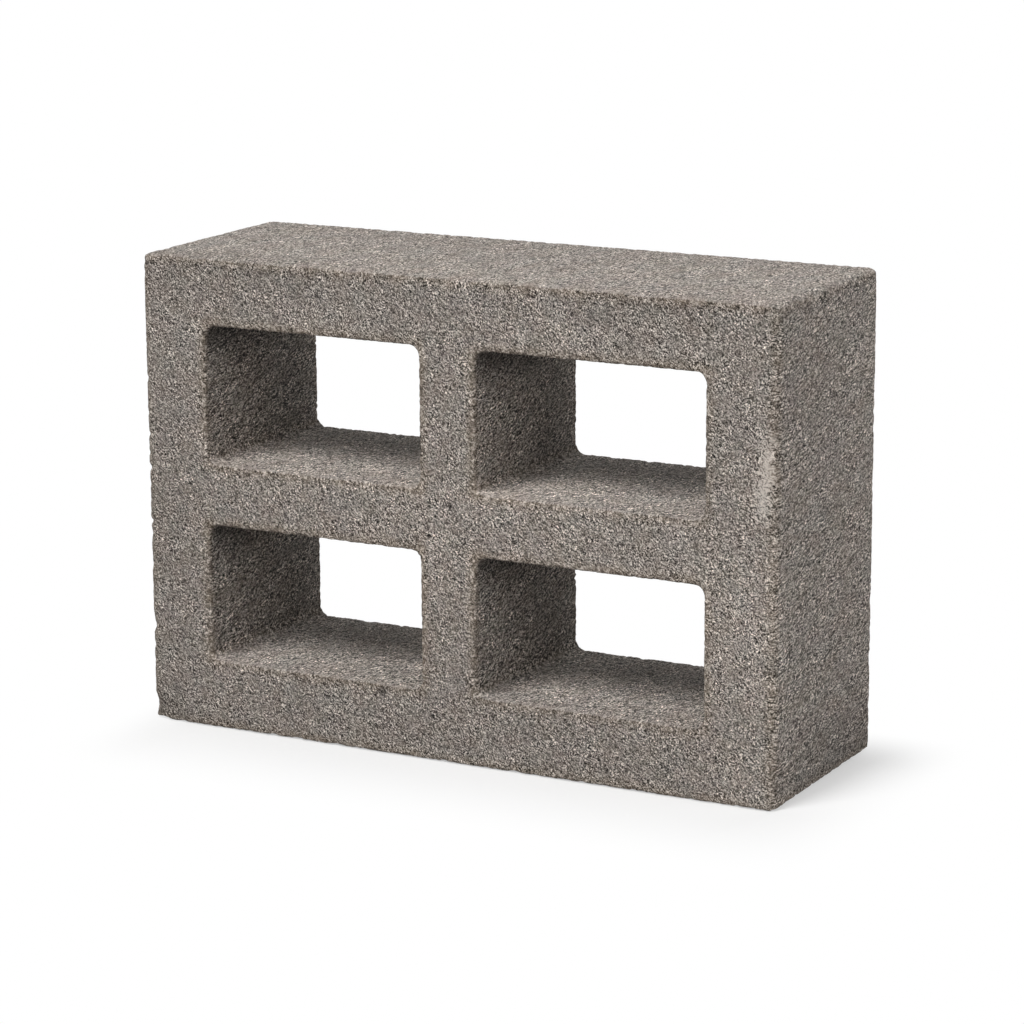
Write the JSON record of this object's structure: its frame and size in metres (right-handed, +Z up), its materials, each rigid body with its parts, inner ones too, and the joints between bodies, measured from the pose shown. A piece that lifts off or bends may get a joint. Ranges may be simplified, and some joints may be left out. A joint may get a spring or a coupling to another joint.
{
  "type": "hollow concrete block",
  "caption": "Rectangular open-textured concrete block with tapered rounded-corner cells in a grid right through it, for screen walls, ventilation and light walling.",
  "frame": {"origin": "centre of the underside that the block stands on", "axes": "+X along the length, +Y from the front face with the narrow cell mouths to the back face, +Z up"},
  "size_m": [0.39, 0.135, 0.271],
  "materials": {
    "concrete": "matt, open-textured grey concrete with visible grains and pits"
  },
  "bodies": {
    "root": {"concrete_block": "concrete"}
  },
  "joints": []
}
